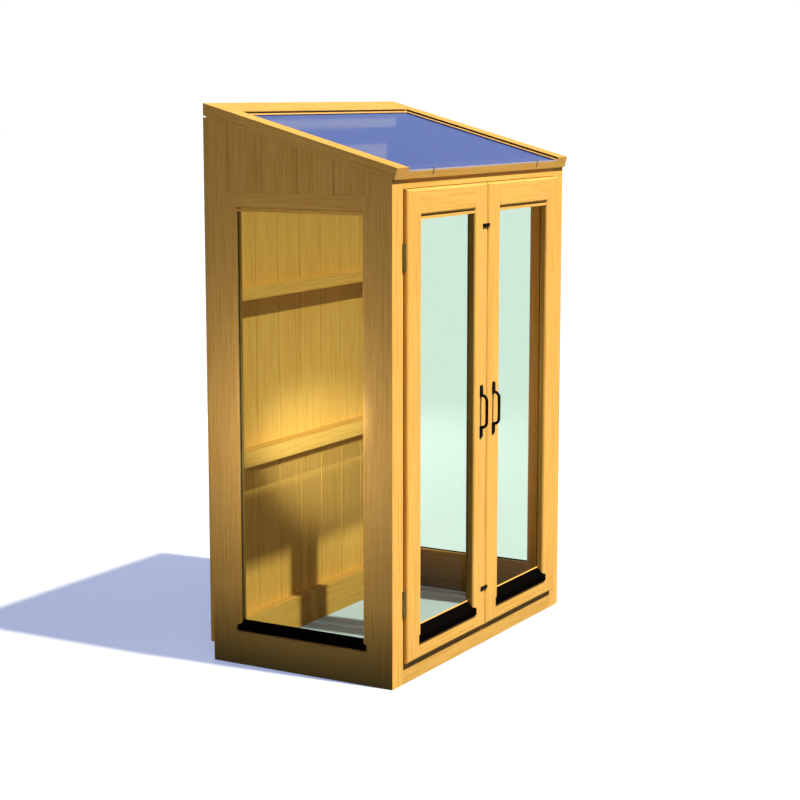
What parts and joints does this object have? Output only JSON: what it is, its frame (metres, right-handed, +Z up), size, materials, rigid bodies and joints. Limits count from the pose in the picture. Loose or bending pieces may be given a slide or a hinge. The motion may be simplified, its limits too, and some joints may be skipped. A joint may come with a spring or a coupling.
{
  "type": "wooden mini greenhouse",
  "caption": "Lean-to wooden mini greenhouse with glazed sides, a boarded back, a sloping glass roof and glazed double doors that open outwards.",
  "frame": {"origin": "on the ground under the middle of the outline", "axes": "+Z up, +Y from the doors to the back wall, +X to the right for someone facing the doors"},
  "size_m": [1.217, 0.7354, 1.8205],
  "materials": {
    "timber_stile": "planed and stained honey brown",
    "timber_rail": "planed and stained honey brown",
    "timber_board": "planed and stained honey brown",
    "timber_bead": "planed and stained honey brown",
    "black_sill": "painted satin black",
    "pane_glass": "clear with a green tint",
    "roof_glass": "clear, reflects the sky",
    "black_iron": "black",
    "zinc_clip": "zinc plated"
  },
  "bodies": {
    "base": {"left_panel_front_stile": "timber_stile", "left_panel_back_stile": "timber_stile", "left_panel_bottom_rail": "timber_rail", "left_panel_window_rail": "timber_rail", "left_panel_gable_boards": "timber_board", "left_panel_glass": "pane_glass", "left_panel_sill": "black_sill", "left_panel_head_bead": "timber_bead", "front_left_post": "timber_stile", "left_lower_hinge_post_leaf": "black_iron", "left_upper_hinge_post_leaf": "black_iron", "roof_left_rake": "timber_rail", "roof_left_glass_clip": "zinc_clip", "right_panel_front_stile": "timber_stile", "right_panel_back_stile": "timber_stile", "right_panel_bottom_rail": "timber_rail", "right_panel_window_rail": "timber_rail", "right_panel_gable_boards": "timber_board", "right_panel_glass": "pane_glass", "right_panel_sill": "black_sill", "right_panel_head_bead": "timber_bead", "front_right_post": "timber_stile", "right_lower_hinge_post_leaf": "black_iron", "right_upper_hinge_post_leaf": "black_iron", "roof_right_rake": "timber_rail", "roof_right_glass_clip": "zinc_clip", "front_header": "timber_rail", "front_threshold": "timber_rail", "front_top_stop": "timber_rail", "front_bottom_stop": "timber_rail", "back_bottom_rail": "timber_rail", "back_middle_rail": "timber_rail", "back_upper_rail": "timber_rail", "back_top_rail": "timber_rail", "roof_back_rail": "timber_rail", "roof_front_rail": "timber_rail", "back_boards": "timber_board", "roof_glass": "roof_glass"},
    "left_door": {"left_door_hinge_stile": "timber_stile", "left_door_meeting_stile": "timber_stile", "left_door_top_rail": "timber_rail", "left_door_bottom_rail": "timber_rail", "left_door_glass": "pane_glass", "left_door_sill": "black_sill", "left_door_head_bead": "timber_bead", "left_door_handle": "black_iron", "left_lower_hinge_door_leaf": "black_iron", "left_upper_hinge_door_leaf": "black_iron"},
    "right_door": {"right_door_hinge_stile": "timber_stile", "right_door_meeting_stile": "timber_stile", "right_door_top_rail": "timber_rail", "right_door_bottom_rail": "timber_rail", "right_door_glass": "pane_glass", "right_door_sill": "black_sill", "right_door_head_bead": "timber_bead", "right_door_handle": "black_iron", "right_lower_hinge_door_leaf": "black_iron", "right_upper_hinge_door_leaf": "black_iron"},
    "upper_button": {"upper_turn_button": "black_iron"},
    "lower_button": {"lower_turn_button": "black_iron"}
  },
  "joints": [
    {"name": "left_door_hinge", "type": "hinge", "parent": "base", "child": "left_door", "pos_m": [-0.5397, -0.32855, 0.8088], "axis": [0, 0, -1], "range_deg": [0, 110]},
    {"name": "right_door_hinge", "type": "hinge", "parent": "base", "child": "right_door", "pos_m": [0.5397, -0.32855, 0.8088], "axis": [0, 0, 1], "range_deg": [0, 110]},
    {"name": "upper_turn_button_pivot", "type": "hinge", "parent": "left_door", "child": "upper_button", "pos_m": [-0.0165, -0.3424, 1.4235], "axis": [0, 1, 0], "range_deg": [-90, 90]},
    {"name": "lower_turn_button_pivot", "type": "hinge", "parent": "left_door", "child": "lower_button", "pos_m": [-0.0165, -0.3424, 0.2015], "axis": [0, 1, 0], "range_deg": [-90, 90]}
  ]
}
